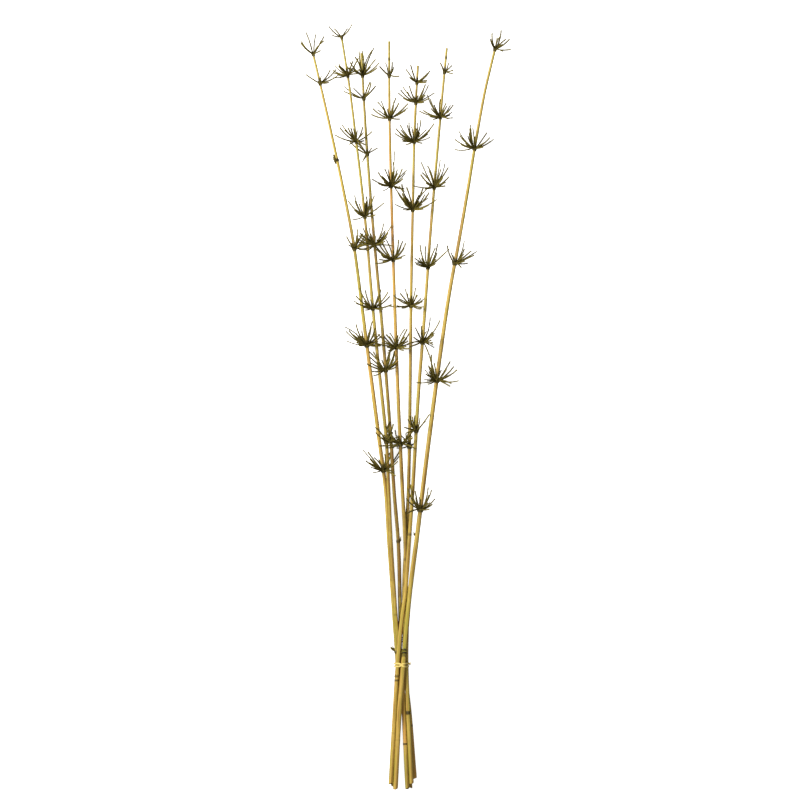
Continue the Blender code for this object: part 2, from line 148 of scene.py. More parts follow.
# The twigs of each whorl, seen from above the stem, in mm from the middle of the joint:
# (to the right, forward along the stem, how far the twig bows to its right, in hundredths of its length).
# Nearly all rows of this table and the next were written by a separate tracing program, not set by hand.
STOUT_TWIGS = {
    "tuft_1_1": [(-3, 32, 5), (-13, 17, -14), (19, 13, -14), (10, 1, 14), (-14, 24, -14), (20, 19, 5),
                 (14, 15, 8)],
    "tuft_1_2": [(26, 13, 14), (-16, 15, -5), (26, 4, 14), (18, 14, 14), (11, -3, 14)],
    "tuft_1_3": [(19, 18, 14), (18, 5, 14), (15, 18, -5), (17, -4, 5), (18, 11, 14), (-8, 17, -5),
                 (6, 16, 5)],
    "tuft_1_4": [(-11, 30, -14), (-26, 22, -14), (9, 23, 5), (25, 12, 14), (14, 21, 14), (24, -3, 5),
                 (-13, 5, -14), (-12, 17, -14), (20, 12, 5), (-22, 23, -14), (-4, 20, -14),
                 (-10, 0, -14), (16, 3, 14)],
    "tuft_1_5": [(-18, 28, -5), (-22, 16, -14), (-16, 18, -14), (5, 22, 14), (27, 24, 14),
                 (-12, 4, -14), (-10, 19, 14), (21, 10, 14), (16, 31, 14), (14, -4, -14), (15, -9, -5)],
    "tuft_2_1": [(-15, 17, -14), (-8, 12, 5), (-12, 4, -14)],
    "tuft_2_2": [(-19, 10, -14), (18, 21, 5), (-10, 12, -5), (10, 17, -5), (-13, 2, -14), (-8, 12, 14),
                 (-10, -2, -14)],
    "tuft_2_3": [(-9, 19, -5), (-20, 21, -14), (11, 17, 14), (-18, 5, -14), (-12, 16, -5),
                 (23, 10, 14), (-9, -4, 5), (-5, 18, -5), (10, 0, 14), (11, -7, -5)],
    "tuft_2_4": [(-11, 22, -14), (9, 23, 14), (-21, 24, -14), (17, 7, -5), (5, 27, 14), (-6, 18, -5),
                 (14, 0, 14), (-9, 4, -14), (9, 12, 14), (4, 20, 5)],
    "tuft_2_5": [(-16, 29, -14), (13, 24, 14), (-8, 25, -14), (25, 14, 14), (-22, 19, -14),
                 (-13, 2, -14), (26, 2, 14), (13, -3, 14), (-10, -2, -14), (-22, 8, -5)],
    "tuft_2_6": [(15, -8, 14), (4, 20, 14), (19, -1, -14), (6, 27, -14), (11, 23, 5), (-14, 13, -5),
                 (-14, 20, 14), (9, 11, 14)],
    "tuft_3_1": [(18, 38, -5), (-16, 17, -14), (20, 7, 14), (-9, 24, 14), (1, 33, 14), (-3, 32, -5),
                 (-9, 4, -14)],
    "tuft_3_2": [(11, 19, 14), (-27, 11, -5), (10, 21, -5), (17, 16, 5)],
    "tuft_3_3": [(-23, 19, -14), (-19, 20, 14), (-12, 20, -5)],
    "tuft_3_4": [(20, 14, 14), (-24, -2, 14), (-20, 14, -14), (-9, 24, -14), (-21, -5, -14),
                 (-18, 17, -5), (14, 3, 14), (10, 14, 14), (-11, -7, -14), (10, -1, 14),
                 (-24, 0, 14), (-22, 10, -14), (16, 15, 14)],
    "tuft_3_5": [(-21, 20, -5), (10, 33, 5), (18, 33, 14), (18, 16, 14), (-25, 10, -14), (-22, 28, 5),
                 (13, 2, 14), (-19, -1, -14), (-20, 11, -5), (13, 33, -14), (7, 14, 5),
                 (18, 10, 14), (12, 13, 14)],
    "tuft_4_1": [(6, 11, 14), (-13, 12, -5), (13, -2, 14), (4, 18, 14)],
    "tuft_4_2": [(-16, 22, 5), (26, 20, 10), (-23, 14, -14), (13, 21, 5), (9, 27, -5),
                 (22, 10, 8), (-25, 6, -14), (13, -2, 5), (-7, 8, -14)],
    "tuft_4_3": [(-17, 18, -14), (-26, 9, -14), (16, 22, 14), (4, 31, 14), (-8, 22, 5), (16, 8, 14),
                 (-13, 0, -14), (17, -4, 14), (-12, 12, 5), (-9, 4, -14), (9, 15, 5), (3, 18, -5),
                 (11, 7, 14), (9, 21, 5)],
    "tuft_4_4": [(-25, 21, -14), (-16, 32, -14), (14, 25, 5), (-22, 28, -14), (-16, 6, -14),
                 (15, 14, 14), (-19, 0, -14), (8, 26, 14), (-25, -5, -14), (11, 1, 14), (-26, 18, -14),
                 (11, 17, 14)],
    "tuft_4_5": [(21, 22, 14), (16, 24, 5), (21, -3, 14), (-32, 7, -5), (24, 5, 5), (-13, 17, 5),
                 (-19, 20, -14), (16, 7, 5), (-12, 0, -14), (9, -5, 14), (-10, -5, -5), (13, 0, 14),
                 (-19, 6, 5)],
    "tuft_4_6": [(-20, 26, -14), (22, 26, 14), (-29, -1, -5), (20, -7, -14), (-6, 19, -14),
                 (17, 8, 14), (-20, -4, -14), (-28, 17, -5), (12, 15, 14)],
    "tuft_5_1": [(-16, 17, -5), (17, 16, 5), (-10, 23, -5), (13, 2, -5), (-10, 5, -14), (12, 8, 14),
                 (12, 0, 14)],
    "tuft_5_2": [(10, 19, 14), (-22, 16, -14), (18, 6, 14), (-10, 21, -5), (12, 10, 14),
                 (10, 0, 14), (-17, 4, -14), (-12, 14, -14)],
    "tuft_5_3": [(27, 26, 14), (-27, 9, -14), (-26, 16, -14), (-10, 21, -14), (4, 24, 14), (18, 10, 14),
                 (-18, 15, -14), (7, 12, 14), (-17, 1, -14), (-11, -4, -14), (8, 29, 14),
                 (10, -3, 5)],
    "tuft_5_4": [(-16, 34, -14), (14, 30, 5), (22, 23, 14), (21, 5, 14), (-11, 6, -14), (-21, 22, -14),
                 (-9, 29, 5), (13, 0, 14), (12, 6, 14), (8, 10, 14), (-15, 21, -14), (-8, 14, 5),
                 (-13, -1, -14), (8, 19, -5)],
    "tuft_5_5": [(-24, 13, -14), (-15, 16, -5), (15, 5, 14), (7, 14, 14), (-12, -4, -14), (12, -5, 14),
                 (-5, 15, -14), (14, -4, -5), (13, 9, 14), (-19, -1, -14)],
    "tuft_5_6": [(-17, 8, -5), (-12, 14, 14), (-17, -3, -14), (-8, 9, 14)],
    "tuft_6_1": [(9, 9, 5), (-7, 11, 5), (11, 3, 14), (11, -2, 5), (4, 12, 14)],
    "tuft_6_2": [(-16, 22, -14), (16, 17, 14), (-24, 6, -14), (-13, 9, -14), (-14, -2, -14),
                 (12, 4, 14), (-9, -5, -14), (7, 14, 5), (-2, 23, -14), (6, 18, -5), (-10, 14, -5),
                 (10, -3, -14)],
    "tuft_6_3": [(19, 15, 14), (17, 28, 5), (-18, 19, 5), (-12, 28, 14), (-20, 15, -14), (7, 25, 5),
                 (14, 2, 5), (10, 12, 14), (-12, -4, -14), (10, 22, 5), (-11, 3, -14), (13, 6, 14)],
    "tuft_6_4": [(-13, 30, -14), (-18, 4, -5), (11, 33, 14), (-13, 11, -14), (23, 22, 5),
                 (-5, 28, -14), (11, 19, 14), (8, 26, -5), (9, 4, 14), (-14, 5, 5), (-9, 10, -14),
                 (-10, 0, -14)],
    "tuft_6_5": [(14, 10, 14), (12, 14, 5), (13, 0, 14), (-17, -8, -5), (7, 17, 5), (-6, 11, -5),
                 (-12, 5, -14), (11, 3, 14), (-3, 21, -5), (-10, -1, 5), (4, 14, -14)],
    "tuft_6_6": [(17, 23, 5), (-6, 18, -14), (-12, 14, -14), (-16, 3, -5), (-3, 20, -14),
                 (-10, 19, -14), (-12, -4, 5)],
    "tuft_7_1": [(-9, 19, -14), (16, 17, 14), (2, 27, 14), (11, 15, -5), (-1, 14, 5), (10, -2, -5),
                 (-9, 10, -14)],
    "tuft_7_2": [(13, 24, 5), (18, 17, 14), (-23, 14, -14), (-11, 25, -14), (20, 12, 14),
                 (-19, 1, -14), (-27, -7, -14), (-12, 14, -14), (-13, 3, -14),
                 (10, 2, 14), (-29, 7, -14)],
    "tuft_7_3": [(24, 15, 5), (19, 20, 5), (9, 21, 14), (-15, 21, -14), (12, 4, 14), (9, -5, -14)],
    "tuft_7_4": [(-12, 34, -14), (15, 28, 5), (26, 18, 14), (-27, -7, -14), (19, -6, -5), (21, 22, 14),
                 (-16, 6, -5), (-10, 12, -14), (20, -2, -14), (-13, -3, 5), (11, 17, 14),
                 (-12, 10, -14), (-7, 23, 5), (-11, -7, -14)],
    "tuft_7_5": [(9, 21, 14), (-18, 33, -14), (15, 9, 14), (11, 2, 14), (-10, 24, -5), (-21, 13, -14),
                 (8, 10, 14), (7, 32, 14), (-17, -7, 14), (-21, 27, -14)],
}
# Thinner twigs, set down in the same way.
FINE_TWIGS = {
    "tuft_3_3": [(6, 6, 5), (-7, -10, 10), (-4, -6, -5)],
    "tuft_1_1": [(10, 25, -5)],
    "tuft_1_3": [(8, 25, 14), (18, 6, 14)],
    "tuft_1_4": [(-27, 9, -14), (-28, 29, 14), (12, 31, -5), (18, -4, 14)],
    "tuft_1_5": [(-25, 32, -5), (-16, 7, -14), (-14, -1, -14), (21, 31, -14), (24, 15, 14)],
    "tuft_2_1": [(17, 15, 14)],
    "tuft_2_2": [(-20, 7, -5), (19, -1, -5), (17, 3, -14), (-20, 0, -14), (-10, 18, -5),
                 (-15, 16, -14), (11, 9, -14)],
    "tuft_2_3": [(-29, 13, -14), (-17, 25, -5)],
    "tuft_2_4": [(29, 16, 5), (-17, -3, -14), (-11, 30, -14), (16, 27, 5), (-13, 9, -14)],
    "tuft_2_5": [(23, 20, 14), (9, 17, 5), (-11, 10, -5), (-25, 12, -14)],
    "tuft_2_6": [(18, 5, -5)],
    "tuft_3_1": [(24, 15, 14), (15, 33, -14), (7, 14, 14), (-19, 10, 14), (11, 9, 5)],
    "tuft_3_2": [(-26, 18, -14), (-14, 3, -14)],
    "tuft_3_4": [(26, 25, 14), (-5, 24, -14), (-25, 7, -5), (15, 28, 14), (18, 9, 14), (-14, 25, -14),
                 (24, -4, -5)],
    "tuft_3_5": [(-17, -7, -14), (14, 25, 14), (-15, 26, -5)],
    "tuft_4_1": [(-5, 17, 5)],
    "tuft_4_2": [(26, 14, 5), (-11, 23, -5), (6, 22, 14)],
    "tuft_4_3": [(6, 48, 4), (20, 16, 14), (-12, -8, -14), (18, -9, -14), (-17, 2, -14)],
    "tuft_4_4": [(-19, 31, -5), (-12, 32, 14), (17, 5, 5), (-14, 3, -14), (18, 21, 14), (-14, -2, -14)],
    "tuft_4_5": [(15, 11, 14), (13, 24, -14), (12, 13, 5), (-8, 19, 14), (-25, 19, -14),
                 (-12, -8, -14)],
    "tuft_4_6": [(21, 20, 5), (-29, 12, -5), (-11, 14, -14)],
    "tuft_5_1": [(15, 12, 14)],
    "tuft_5_2": [(25, 14, 5), (16, 24, 14), (-25, 12, -14), (-19, 20, -5), (12, 25, 5)],
    "tuft_5_3": [(-20, 21, -14), (21, 5, 14), (-20, 8, -14), (21, 15, 14), (-8, 25, -14),
                 (-16, -1, -14)],
    "tuft_5_4": [(-28, 33, -5), (16, 21, 14), (-20, 32, 5), (26, 35, -14), (33, 14, 14), (-25, 6, -14)],
    "tuft_5_5": [(6, 24, 5), (19, 10, 14), (-18, 9, 5), (-32, -1, -14), (-8, 22, -5), (17, -2, 14)],
    "tuft_5_6": [(-5, 18, -14)],
    "tuft_6_2": [(-21, 29, -14), (-30, 5, -14), (12, 16, 14), (16, -1, 14), (15, 8, 14)],
    "tuft_6_3": [(-21, 33, -5), (5, 39, 5), (-29, -1, -14), (-9, 21, 5), (12, 34, 14)],
    "tuft_6_4": [(28, 27, 5), (-16, 2, -14)],
    "tuft_6_5": [(14, -27, -8), (22, 32, 14), (8, 35, 14), (16, -6, -5), (-21, -5, 14), (14, -3, -14)],
    "tuft_6_6": [(4, 17, 14)],
    "tuft_7_1": [(21, 4, 14), (3, 18, -14)],
    "tuft_7_2": [(-26, 20, -14), (-7, 27, 5), (-11, 31, -5), (24, 17, 14), (-11, 18, -14)],
    "tuft_7_3": [(27, 21, 5), (7, 32, 14), (17, 3, 14), (10, 14, 5)],
    "tuft_7_4": [(-13, 27, 5), (-17, -2, 14), (-14, 18, -14), (30, 3, 14), (-18, 12, -14)],
    "tuft_7_5": [(18, 17, 14), (12, 29, 14), (-8, 15, -14)],
}


def linear_colour(code):
    """An sRGB hex colour as the linear colour that the shaders use."""
    channels = [int(code[i:i + 2], 16) / 255 for i in (1, 3, 5)]
    return tuple(c / 12.92 if c <= 0.04045 else ((c + 0.055) / 1.055) ** 2.4 for c in channels) + (1.0,)


def colour_setting(name, description, code):
    return bpy.props.FloatVectorProperty(
        name=name, description=description, size=4, subtype="COLOR", min=0.0, max=1.0,
        default=linear_colour(code))


class StemSettings(bpy.types.PropertyGroup):
    sides: bpy.props.IntProperty(
        name="Sides", description="Faces round a stem", default=20, min=8, max=48)
    station_step: bpy.props.FloatProperty(
        name="Ring spacing", description="Between two rings of a stem", default=12 * MM, unit="LENGTH")
    bore: bpy.props.FloatProperty(
        name="Bore", description="Hollow of a cut end, as a share of its radius",
        default=0.62, subtype="FACTOR")
    bore_depth: bpy.props.FloatProperty(
        name="Bore depth", description="How deep the cut end is open", default=9 * MM, unit="LENGTH")
    straw: colour_setting("Straw", "The clean stem", "#d1b555")
    amber: colour_setting("Amber", "Sun-baked lengths", "#cf9141")
    olive: colour_setting("Olive", "Lengths that dried green", "#95912c")
    brown: colour_setting("Brown", "Weathered lengths", "#6e5220")
    # The scar colour darkens the joint rings and also serves as painted shade inside the hollow cut ends.
    scar_and_bore_shade: colour_setting("Scar", "The rings of the joints", "#322a0e")


class TwigSettings(bpy.types.PropertyGroup):
    root_radius: bpy.props.FloatProperty(
        name="Root radius", description="Half thickness of a twig at its root",
        default=1.2 * MM, unit="LENGTH")
    inner: bpy.props.IntProperty(
        name="Inner twigs", description="Steep twigs that fill the middle of a whorl",
        default=4, min=0, max=12)
    bark: colour_setting("Bark", "The lower part of a twig", "#4b431a")
    root: colour_setting("Root", "The sheaths at the joint", "#332c10")
    tip: colour_setting("Tip", "The bleached end of a twig", "#90833a")


class RaffiaSettings(bpy.types.PropertyGroup):
    strand_width: bpy.props.FloatProperty(
        name="Strand width", description="Width of one raffia strand", default=2.35 * MM, unit="LENGTH")
    strand_thickness: bpy.props.FloatProperty(
        name="Strand thickness", description="Thickness of one strand", default=0.4 * MM, unit="LENGTH")
    pale: colour_setting("Pale", "The strand's own colour", "#fce88a")
    dark: colour_setting("Dark", "The strand's veins", "#cfae55")


class StageSettings(bpy.types.PropertyGroup):
    floor_size: bpy.props.FloatProperty(
        name="Sheet size", description="Side of the pale sheet", default=60.0, unit="LENGTH")
    glow: bpy.props.FloatProperty(
        name="Sheet glow", description="How much the sheet is lit from below", default=0.85)
    key: bpy.props.FloatProperty(
        name="Key light", description="Power of the window-like light on the left",
        default=70.0, unit="POWER")
    sky: bpy.props.FloatProperty(
        name="Room light", description="Strength of the even light from all round", default=0.19)


class ReedSettings(bpy.types.PropertyGroup):
    stem: bpy.props.PointerProperty(type=StemSettings)
    twig: bpy.props.PointerProperty(type=TwigSettings)
    raffia: bpy.props.PointerProperty(type=RaffiaSettings)
    stage: bpy.props.PointerProperty(type=StageSettings)


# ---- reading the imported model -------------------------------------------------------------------

def node_points(name):
    """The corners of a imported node, each once, as rows (x, y, z)."""
    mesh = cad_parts[name].data
    flat = np.zeros(len(mesh.vertices) * 3)
    mesh.vertices.foreach_get("co", flat)
    return np.unique(np.round(flat.reshape(-1, 3), 6), axis=0)


def read_stem(name):
    """A packed stem's centre line as rows (x, y, z, radius), from its cut end to its tip."""
    points = node_points(name)
    points = points[np.argsort(points[:, 1])]
    breaks = np.where(np.diff(points[:, 1]) > 5 * MM)[0] + 1
    rows = []
    for ring in np.split(points, breaks):
        centre = ring.mean(axis=0)
        rows.append([*centre, np.linalg.norm(ring - centre, axis=1).mean()])
    return np.array(rows)


def smooth_line(rows, step):
    """The line through the rows, drawn evenly and softly rounded at its corners."""
    y = np.arange(rows[0, 1], rows[-1, 1], step)
    y = np.append(y, rows[-1, 1])
    slopes = np.diff(rows, axis=0) / np.diff(rows[:, 1])[:, None]
    tangent = np.vstack([slopes[:1], (slopes[:-1] + slopes[1:]) / 2, slopes[-1:]])
    spot = np.clip(np.searchsorted(rows[:, 1], y, side="right") - 1, 0, len(rows) - 2)
    h = (rows[spot + 1, 1] - rows[spot, 1])[:, None]
    t = ((y - rows[spot, 1])[:, None]) / h
    return (
        (2 * t**3 - 3 * t**2 + 1) * rows[spot]
        + (t**3 - 2 * t**2 + t) * h * tangent[spot]
        + (3 * t**2 - 2 * t**3) * rows[spot + 1]
        + (t**3 - t**2) * h * tangent[spot + 1]
    )


class Stem:
    """A stem's line, read at any place along Y or at any length from its cut end."""

    def __init__(self, name):
        self.name = name
        self.line = smooth_line(read_stem(name), 4 * MM)
        steps = np.linalg.norm(np.diff(self.line[:, :3], axis=0), axis=1)
        self.run = np.concatenate([[0], np.cumsum(steps)])

    @property
    def length(self):
        return self.run[-1]

    def run_at(self, y):
        return float(np.interp(y, self.line[:, 1], self.run))

    def point(self, run):
        return Vector([np.interp(run, self.run, self.line[:, k]) for k in range(3)])

    def radius(self, run):
        return float(np.interp(run, self.run, self.line[:, 3]))

    def direction(self, run):
        return (self.point(run + 3 * MM) - self.point(run - 3 * MM)).normalized()


def read_hub(name, stem):
    """How far along its stem a packed whorl's sheath sits."""
    points = node_points(name)
    run = np.interp(points[:, 1], stem.line[:, 1], stem.run)
    off = np.array([(Vector(p) - stem.point(r)).length for p, r in zip(points, run)])
    sheath = off < np.array([stem.radius(r) for r in run]) + 1.7 * MM
    return stem.run_at(points[sheath][:, 1].mean())


# ---- modelling helpers --------------------------------------------------------------------------

def start_alone():
    """Object mode with nothing selected."""
    if bpy.context.object and bpy.context.object.mode != "OBJECT":
        bpy.ops.object.mode_set(mode="OBJECT")
    bpy.ops.object.select_all(action="DESELECT")


def pick(piece):
    start_alone()
    piece.select_set(True)
    bpy.context.view_layer.objects.active = piece


def named(piece, name):
    piece.name = name
    piece.data.name = name
    return piece


def turn_profile(name, profile, sides):
    """A turned shape round Z: the profile (radius, height) is drawn as a line and spun."""
    mesh = bpy.data.meshes.new(name)
    mesh.from_pydata([(r, 0, z) for r, z in profile], [(i, i + 1) for i in range(len(profile) - 1)], [])
    piece = bpy.data.objects.new(name, mesh)
    bpy.context.scene.collection.objects.link(piece)
    pick(piece)
    bpy.ops.object.mode_set(mode="EDIT")
    bpy.ops.mesh.select_all(action="SELECT")
    bpy.ops.mesh.spin(steps=sides, angle=2 * math.pi, center=(0, 0, 0), axis=(0, 0, 1))
    bpy.ops.mesh.select_all(action="SELECT")
    bpy.ops.mesh.remove_doubles(threshold=0.5e-6)
    bpy.ops.mesh.normals_make_consistent(inside=False)
    bpy.ops.object.mode_set(mode="OBJECT")
    return piece


def unwrap_round(piece):
    """A UV map from the shape itself: U once round Z, V the height."""
    mesh = piece.data
    layer = mesh.uv_layers.get("round") or mesh.uv_layers.new(name="round")
    for face in mesh.polygons:
        middle = math.atan2(face.center.y, face.center.x)
        for loop in face.loop_indices:
            at = mesh.vertices[mesh.loops[loop].vertex_index].co
            angle = math.atan2(at.y, at.x) if at.to_2d().length > 1e-7 else middle
            angle += 2 * math.pi * round((middle - angle) / (2 * math.pi))
            layer.data[loop].uv = (angle / (2 * math.pi), at.z)


def lay_along(piece, points, closed=False):
    """Bends a piece modelled upright along Z, so that it follows the points, with a Curve modifier."""
    curve = bpy.data.curves.new("way", "CURVE")
    curve.dimensions = "3D"
    curve.twist_mode = "MINIMUM"
    spline = curve.splines.new("POLY")
    spline.points.add(len(points) - 1)
    for knot, point in zip(spline.points, points):
        knot.co = (*point, 1.0)
    spline.use_cyclic_u = closed
    way = bpy.data.objects.new("way", curve)
    bpy.context.scene.collection.objects.link(way)
    bend = piece.modifiers.new("along", "CURVE")
    bend.object = way
    bend.deform_axis = "POS_Z"
    with bpy.context.temp_override(object=piece, active_object=piece, selected_objects=[piece]):
        bpy.ops.object.modifier_apply(modifier="along")
    bpy.data.objects.remove(way)
    bpy.data.curves.remove(curve)


def copy_of(model, name):
    """A copy with its own mesh."""
    piece = model.copy()
    piece.data = model.data.copy()
    bpy.context.scene.collection.objects.link(piece)
    return named(piece, name)


def join_all(pieces, name):
    start_alone()
    for piece in pieces:
        piece.select_set(True)
    bpy.context.view_layer.objects.active = pieces[0]
    if len(pieces) > 1:
        bpy.ops.object.join()
    return named(bpy.context.view_layer.objects.active, name)


def shade_smooth(piece, angle=40):
    pick(piece)
    bpy.ops.object.shade_smooth_by_angle(angle=math.radians(angle))


def finish_piece(piece, material, node):
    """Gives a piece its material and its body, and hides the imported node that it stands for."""
    piece.data.materials.clear()
    piece.data.materials.append(material)
    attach(piece, "root")
    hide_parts(node)


# ---- materials ----------------------------------------------------------------------------------

def add_node(tree, kind, links=None, values=None, stops=(), **options):
    """Adds a node with its options, ramp stops, socket values and links, and returns it."""
    made = tree.nodes.new(kind)
    for key, value in options.items():
        setattr(made, key, value)
    for count, (place, level) in enumerate(stops):
        steps = made.color_ramp.elements
        step = steps[count] if count < 2 else steps.new(place)
        step.position = place
        step.color = (level, level, level, 1)
    for key, value in (values or {}).items():
        made.inputs[key].default_value = value
    for key, socket in (links or {}).items():
        tree.links.new(socket, made.inputs[key])
    return made


def new_material(name):
    material = bpy.data.materials.new(name)
    material.use_nodes = True
    material.node_tree.nodes.clear()
    return material, material.node_tree


def end_material(tree, shader):
    add_node(tree, "ShaderNodeOutputMaterial", {"Surface": shader.outputs["BSDF"]})


def straw_material(settings):
    """Dried reed culm: a waxy straw skin, finely ribbed lengthwise, with amber, olive and brown lengths."""
    material, tree = new_material("dried_reed_culm")
    uv = add_node(tree, "ShaderNodeUVMap", uv_map="round")
    tone = add_node(tree, "ShaderNodeAttribute", attribute_name="tone")
    parts = add_node(tree, "ShaderNodeSeparateColor", {"Color": tone.outputs["Color"]})
    # Fibres run the length of the culm. Real ones are 0.2 mm apart, which is too fine to show,
    # so they are drawn about 0.8 mm apart: some 16 to 20 round the stem.
    fibre_place = add_node(tree, "ShaderNodeMapping", {"Vector": uv.outputs["UV"]}, {"Scale": (18, 12, 1)})
    fibre = add_node(tree, "ShaderNodeTexNoise", {"Vector": fibre_place.outputs["Vector"]},
                     {"Scale": 1.0, "Detail": 3.0, "Roughness": 0.6})
    # Weathering comes in blotches some 10 to 25 mm long and as wide as half the stem.
    blotch_place = add_node(tree, "ShaderNodeMapping", {"Vector": uv.outputs["UV"]}, {"Scale": (2.0, 45, 1)})
    blotch = add_node(tree, "ShaderNodeTexNoise", {"Vector": blotch_place.outputs["Vector"]},
                      {"Scale": 1.0, "Detail": 4.0, "Roughness": 0.65})
    streak = add_node(tree, "ShaderNodeValToRGB", {"Fac": fibre.outputs["Fac"]},
                      stops=[(0.35, 0.0), (0.7, 1.0)]).outputs["Color"]
    patch = add_node(tree, "ShaderNodeValToRGB", {"Fac": blotch.outputs["Fac"]},
                     stops=[(0.42, 0.0), (0.68, 1.0)]).outputs["Color"]
    colour = add_node(tree, "ShaderNodeMix", {"Factor": parts.outputs["Red"]},
                      {6: settings.straw, 7: settings.amber},
                      data_type="RGBA").outputs[2]
    colour = add_node(tree, "ShaderNodeMix", {"Factor": parts.outputs["Green"], 6: colour},
                      {7: settings.olive},
                      data_type="RGBA").outputs[2]
    browning = add_node(tree, "ShaderNodeMath", {0: parts.outputs["Blue"], 1: patch}, operation="MULTIPLY")
    base_brown = add_node(tree, "ShaderNodeMath", {0: parts.outputs["Blue"]}, {1: 0.62}, operation="MULTIPLY")
    brown = add_node(tree, "ShaderNodeMath", {0: browning.outputs[0], 1: base_brown.outputs[0]},
                     operation="ADD", use_clamp=True)
    colour = add_node(tree, "ShaderNodeMix", {"Factor": brown.outputs[0], 6: colour}, {7: settings.brown},
                      data_type="RGBA").outputs[2]
    light_streak = add_node(tree, "ShaderNodeMath", {0: streak}, {1: 0.22}, operation="MULTIPLY")
    colour = add_node(tree, "ShaderNodeMix", {"Factor": light_streak.outputs[0], 6: colour},
                      {7: linear_colour("#ead98c")},
                      data_type="RGBA").outputs[2]
    specks = add_node(tree, "ShaderNodeMath", {0: patch}, {1: 0.25}, operation="MULTIPLY")
    colour = add_node(tree, "ShaderNodeMix", {"Factor": specks.outputs[0], 6: colour}, {7: settings.brown},
                      data_type="RGBA").outputs[2]
    # Long sunburnt and green stripes, as wide as a fifth of the stem and 100 mm or more long.
    stripe_place = add_node(tree, "ShaderNodeMapping", {"Vector": uv.outputs["UV"]}, {"Scale": (5, 7, 1)})
    stripe = add_node(tree, "ShaderNodeTexNoise", {"Vector": stripe_place.outputs["Vector"]},
                      {"Scale": 1.0, "Detail": 2.0, "Roughness": 0.5})
    burnt = add_node(tree, "ShaderNodeValToRGB", {"Fac": stripe.outputs["Fac"]},
                     stops=[(0.52, 0.0), (0.62, 0.75)]).outputs["Color"]
    colour = add_node(tree, "ShaderNodeMix", {"Factor": burnt, 6: colour}, {7: linear_colour("#8a5f2c")},
                      data_type="RGBA").outputs[2]
    green = add_node(tree, "ShaderNodeValToRGB", {"Fac": stripe.outputs["Fac"]},
                     stops=[(0.36, 0.7), (0.46, 0.0)]).outputs["Color"]
    colour = add_node(tree, "ShaderNodeMix", {"Factor": green, 6: colour}, {7: settings.olive},
                      data_type="RGBA").outputs[2]
    # The tone's alpha lays the scar colour on the joint rings, and inside the hollow cut end as painted
    # shade.
    colour = add_node(tree, "ShaderNodeMix", {"Factor": tone.outputs["Alpha"], 6: colour}, {7: settings.scar_and_bore_shade},
                      data_type="RGBA").outputs[2]
    ribs = add_node(tree, "ShaderNodeBump", {"Height": fibre.outputs["Fac"]},
                    {"Strength": 0.35, "Distance": 0.25 * MM})
    shader = add_node(tree, "ShaderNodeBsdfPrincipled",
                      {"Base Color": colour, "Normal": ribs.outputs["Normal"]},
                      {"Roughness": 0.4, "IOR": 1.47, "Specular IOR Level": 0.3})
    end_material(tree, shader)
    return material


def twig_material(settings):
    """Dried twig bark: dull brown-olive, darker at the sheaths and bleached towards the cut tip."""
    material, tree = new_material("dried_twig_bark")
    uv = add_node(tree, "ShaderNodeUVMap", uv_map="round")
    parts = add_node(tree, "ShaderNodeSeparateXYZ", {"Vector": uv.outputs["UV"]})
    dry = add_node(tree, "ShaderNodeAttribute", attribute_name="dryness")
    place = add_node(tree, "ShaderNodeTexCoord")
    # The bark is mottled in flecks about 1.5 mm across.
    fleck = add_node(tree, "ShaderNodeTexNoise", {"Vector": place.outputs["Object"]},
                     {"Scale": 650.0, "Detail": 2.0, "Roughness": 0.6})
    along = add_node(tree, "ShaderNodeValToRGB", {"Fac": parts.outputs["Y"]},
                     stops=[(0.1, 0.0), (0.4, 0.45), (1.0, 1.0)]).outputs["Color"]
    bleach = add_node(tree, "ShaderNodeMath", {0: along, 1: dry.outputs["Fac"]}, operation="MULTIPLY")
    rooted = add_node(tree, "ShaderNodeValToRGB", {"Fac": parts.outputs["Y"]},
                      stops=[(0.02, 0.0), (0.22, 1.0)]).outputs["Color"]
    colour = add_node(tree, "ShaderNodeMix", {"Factor": rooted}, {6: settings.root, 7: settings.bark},
                      data_type="RGBA").outputs[2]
    colour = add_node(tree, "ShaderNodeMix", {"Factor": bleach.outputs[0], 6: colour}, {7: settings.tip},
                      data_type="RGBA").outputs[2]
    flecked = add_node(tree, "ShaderNodeValToRGB", {"Fac": fleck.outputs["Fac"]},
                       stops=[(0.42, 0.0), (0.7, 0.7)]).outputs["Color"]
    colour = add_node(tree, "ShaderNodeMix", {"Factor": flecked, 6: colour}, {7: linear_colour("#85793a")},
                      data_type="RGBA").outputs[2]
    dirt = add_node(tree, "ShaderNodeValToRGB", {"Fac": fleck.outputs["Fac"]},
                    stops=[(0.28, 0.8), (0.42, 0.0)]).outputs["Color"]
    colour = add_node(tree, "ShaderNodeMix", {"Factor": dirt, 6: colour}, {7: linear_colour("#221d0b")},
                      data_type="RGBA").outputs[2]
    rough = add_node(tree, "ShaderNodeBump", {"Height": fleck.outputs["Fac"]},
                     {"Strength": 0.4, "Distance": 0.15 * MM})
    shader = add_node(tree, "ShaderNodeBsdfPrincipled",
                      {"Base Color": colour, "Normal": rough.outputs["Normal"]},
                      {"Roughness": 0.75, "IOR": 1.45, "Specular IOR Level": 0.15})
    end_material(tree, shader)
    return material


